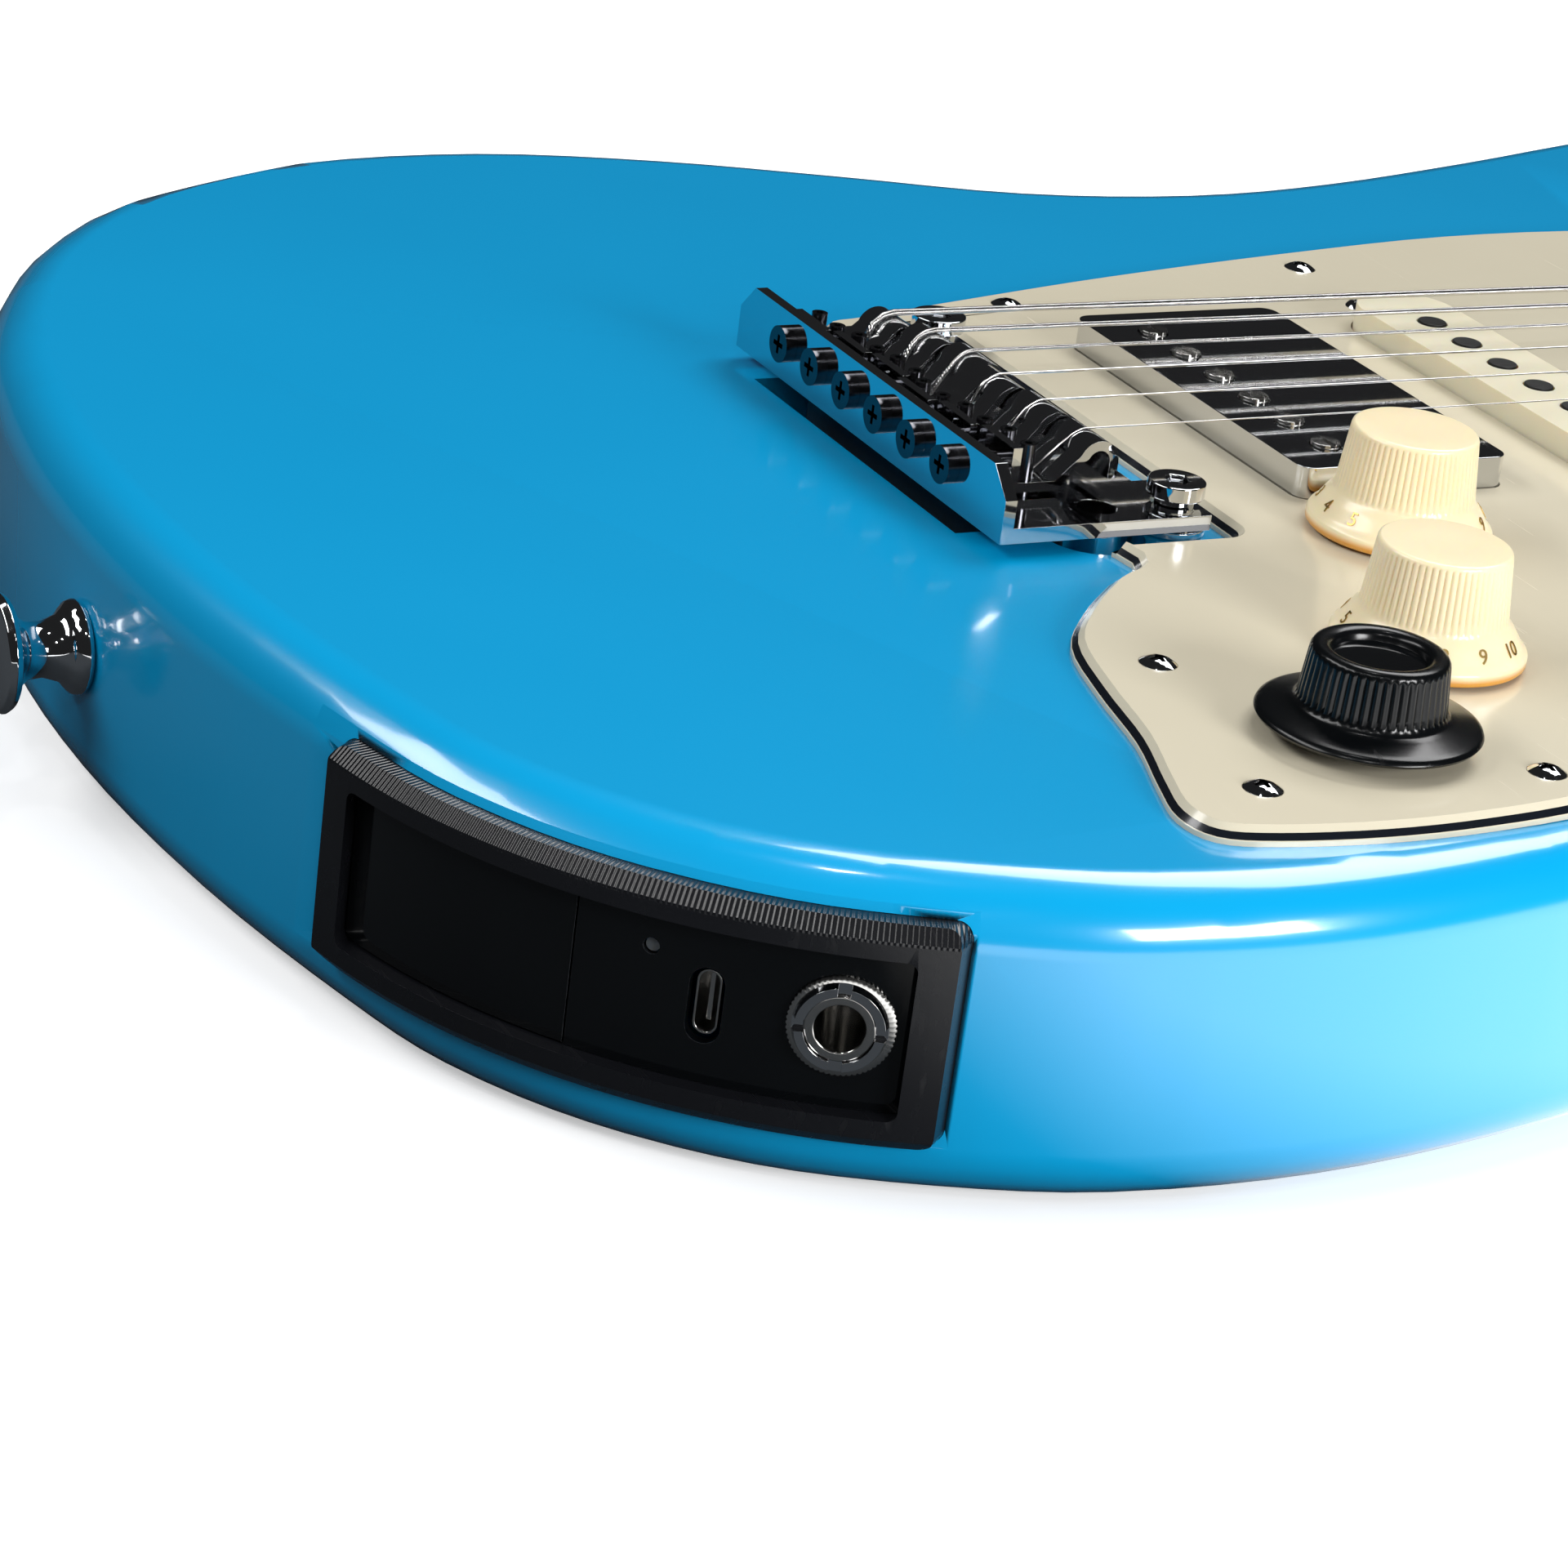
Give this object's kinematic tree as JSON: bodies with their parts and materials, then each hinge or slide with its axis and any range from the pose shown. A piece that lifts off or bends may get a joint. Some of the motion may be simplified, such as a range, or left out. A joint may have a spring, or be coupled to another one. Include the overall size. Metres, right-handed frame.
{
  "type": "solid-body electric guitar",
  "caption": "Sky-blue double-cutaway electric guitar with a tilting bridge, cream pickguard, and a side pod holding the output jack, charging port and slide-out battery.",
  "frame": {"origin": "on the centre line, level with the saddles, on the flat back face", "axes": "+X to the treble side, +Y from the bridge to the headstock, +Z out of the front"},
  "size_m": [0.3097, 0.9967, 0.064],
  "materials": {
    "black_plastic": "black moulded plastic, semi-gloss",
    "body_wood": "solid wood under sky-blue gloss lacquer",
    "bone": "bone-like, polished edges",
    "chrome": "polished chrome plate",
    "coil_black": "black bobbins and taped coils",
    "cover_cream": "aged cream plastic, satin",
    "dot_pearl": "pale pearl-like dots",
    "guard_ply": "three-ply cream, dark, cream sheet, satin gloss",
    "knob_cream": "aged cream plastic, glossy, slightly translucent",
    "led_white": "clear diffusing lens",
    "maple": "tinted maple, satin lacquer",
    "nickel": "satin nickel-plated steel",
    "rosewood": "dark open-pored fingerboard wood, oiled",
    "smoke_lens": "smoked lens, high gloss",
    "steel": "bare steel, satin",
    "string_wire": "plain and wound steel wire"
  },
  "bodies": {
    "guitar": {"body": "body_wood", "pickguard": "guard_ply", "plate_screws": "chrome", "neck": "maple", "fingerboard": "rosewood", "frets": "nickel", "fret_dots": "dot_pearl", "nut": "bone", "truss_rod": "steel", "neck_plate": "chrome", "long_wood_screws": "chrome", "back_cover": "black_plastic", "bridge_posts": "chrome", "single_coil_covers": "cover_cream", "single_coils": "coil_black", "bridge_pickup_cover": "chrome", "bridge_pickup_coils": "coil_black", "pole_screws": "nickel", "pickup_height_screws": "chrome", "strap_buttons": "chrome", "strap_button_screws": "chrome", "pod_frame": "black_plastic", "port_panel": "black_plastic", "battery_bay": "black_plastic", "output_jack": "nickel", "jack_nut": "chrome", "usb_c_port": "nickel", "led_lens": "led_white", "control_pots": "nickel", "selector_switch": "steel", "spring_claw": "steel", "tremolo_springs": "steel", "strings": "string_wire", "tuner_housings": "chrome"},
    "volume_control": {"volume_knob": "knob_cream", "volume_shaft": "nickel"},
    "tone_control": {"tone_knob": "knob_cream", "tone_shaft": "nickel"},
    "dial_spindle": {"dial_shaft": "nickel"},
    "dial_head": {"dial_knob": "black_plastic", "dial_lens": "smoke_lens"},
    "selector": {"selector_lever": "nickel", "selector_tip": "knob_cream"},
    "bridge": {"bridge_plate": "chrome", "tremolo_block": "steel", "saddles": "chrome", "saddle_screws": "nickel"},
    "battery": {"battery_pack": "black_plastic"},
    "key_1": {"tuner_key_1": "chrome"},
    "post_1": {"tuner_post_1": "chrome"},
    "key_2": {"tuner_key_2": "chrome"},
    "post_2": {"tuner_post_2": "chrome"},
    "key_3": {"tuner_key_3": "chrome"},
    "post_3": {"tuner_post_3": "chrome"},
    "key_4": {"tuner_key_4": "chrome"},
    "post_4": {"tuner_post_4": "chrome"},
    "key_5": {"tuner_key_5": "chrome"},
    "post_5": {"tuner_post_5": "chrome"},
    "key_6": {"tuner_key_6": "chrome"},
    "post_6": {"tuner_post_6": "chrome"}
  },
  "joints": [
    {"name": "volume_turn", "type": "hinge", "parent": "guitar", "child": "volume_control", "pos_m": [0.0495, 0.0425, 0.048], "axis": [0, 0, 1], "range_deg": [-140, 140]},
    {"name": "tone_turn", "type": "hinge", "parent": "guitar", "child": "tone_control", "pos_m": [0.0915, 0.0192, 0.048], "axis": [0, 0, 1], "range_deg": [-140, 140]},
    {"name": "dial_turn", "type": "hinge", "parent": "guitar", "child": "dial_spindle", "pos_m": [0.116, -0.0072, 0.048], "axis": [0, 0, 1], "continuous": true},
    {"name": "dial_push", "type": "slide", "parent": "dial_spindle", "child": "dial_head", "axis": [0, 0, -1], "range_m": [0, 0.0015], "stiffness_N_per_m": 800},
    {"name": "selector_flick", "type": "hinge", "parent": "guitar", "child": "selector", "pos_m": [0.09, 0.096, 0.036], "axis": [0.9613, 0.2756, 0], "range_deg": [-16, 16]},
    {"name": "bridge_tilt", "type": "hinge", "parent": "guitar", "child": "bridge", "pos_m": [0, 0.0104, 0.0482], "axis": [1, 0, 0], "range_deg": [-8, 2], "stiffness_Nm_per_rad": 20, "deforming": ["strings", "tremolo_springs"]},
    {"name": "battery_slide", "type": "slide", "parent": "guitar", "child": "battery", "axis": [0.6259, -0.7799, 0], "range_m": [0, 0.045]},
    {"name": "key_1_turn", "type": "hinge", "parent": "guitar", "child": "key_1", "pos_m": [-0.01866, 0.68416, 0.0227], "axis": [-0.9621, 0.2727, 0], "continuous": true},
    {"name": "post_1_turn", "type": "hinge", "parent": "guitar", "child": "post_1", "pos_m": [-0.0204, 0.678, 0.0414], "axis": [0, 0, 1], "continuous": true},
    {"name": "key_2_turn", "type": "hinge", "parent": "guitar", "child": "key_2", "pos_m": [-0.01173, 0.70859, 0.0227], "axis": [-0.9621, 0.2727, 0], "continuous": true},
    {"name": "post_2_turn", "type": "hinge", "parent": "guitar", "child": "post_2", "pos_m": [-0.01347, 0.70244, 0.0414], "axis": [0, 0, 1], "continuous": true},
    {"name": "key_3_turn", "type": "hinge", "parent": "guitar", "child": "key_3", "pos_m": [-0.0048, 0.73303, 0.0227], "axis": [-0.9621, 0.2727, 0], "continuous": true},
    {"name": "post_3_turn", "type": "hinge", "parent": "guitar", "child": "post_3", "pos_m": [-0.00655, 0.72687, 0.0414], "axis": [0, 0, 1], "continuous": true},
    {"name": "key_4_turn", "type": "hinge", "parent": "guitar", "child": "key_4", "pos_m": [0.00213, 0.75747, 0.0227], "axis": [-0.9621, 0.2727, 0], "continuous": true},
    {"name": "post_4_turn", "type": "hinge", "parent": "guitar", "child": "post_4", "pos_m": [0.00038, 0.75131, 0.0414], "axis": [0, 0, 1], "continuous": true},
    {"name": "key_5_turn", "type": "hinge", "parent": "guitar", "child": "key_5", "pos_m": [0.00905, 0.78191, 0.0227], "axis": [-0.9621, 0.2727, 0], "continuous": true},
    {"name": "post_5_turn", "type": "hinge", "parent": "guitar", "child": "post_5", "pos_m": [0.00731, 0.77575, 0.0414], "axis": [0, 0, 1], "continuous": true},
    {"name": "key_6_turn", "type": "hinge", "parent": "guitar", "child": "key_6", "pos_m": [0.01598, 0.80634, 0.0227], "axis": [-0.9621, 0.2727, 0], "continuous": true},
    {"name": "post_6_turn", "type": "hinge", "parent": "guitar", "child": "post_6", "pos_m": [0.01423, 0.80019, 0.0414], "axis": [0, 0, 1], "continuous": true}
  ],
  "couplings": [
    {"joint": "post_1_turn", "follows": "key_1_turn", "ratio": -0.066667},
    {"joint": "post_2_turn", "follows": "key_2_turn", "ratio": -0.066667},
    {"joint": "post_3_turn", "follows": "key_3_turn", "ratio": -0.066667},
    {"joint": "post_4_turn", "follows": "key_4_turn", "ratio": -0.066667},
    {"joint": "post_5_turn", "follows": "key_5_turn", "ratio": -0.066667},
    {"joint": "post_6_turn", "follows": "key_6_turn", "ratio": -0.066667}
  ]
}
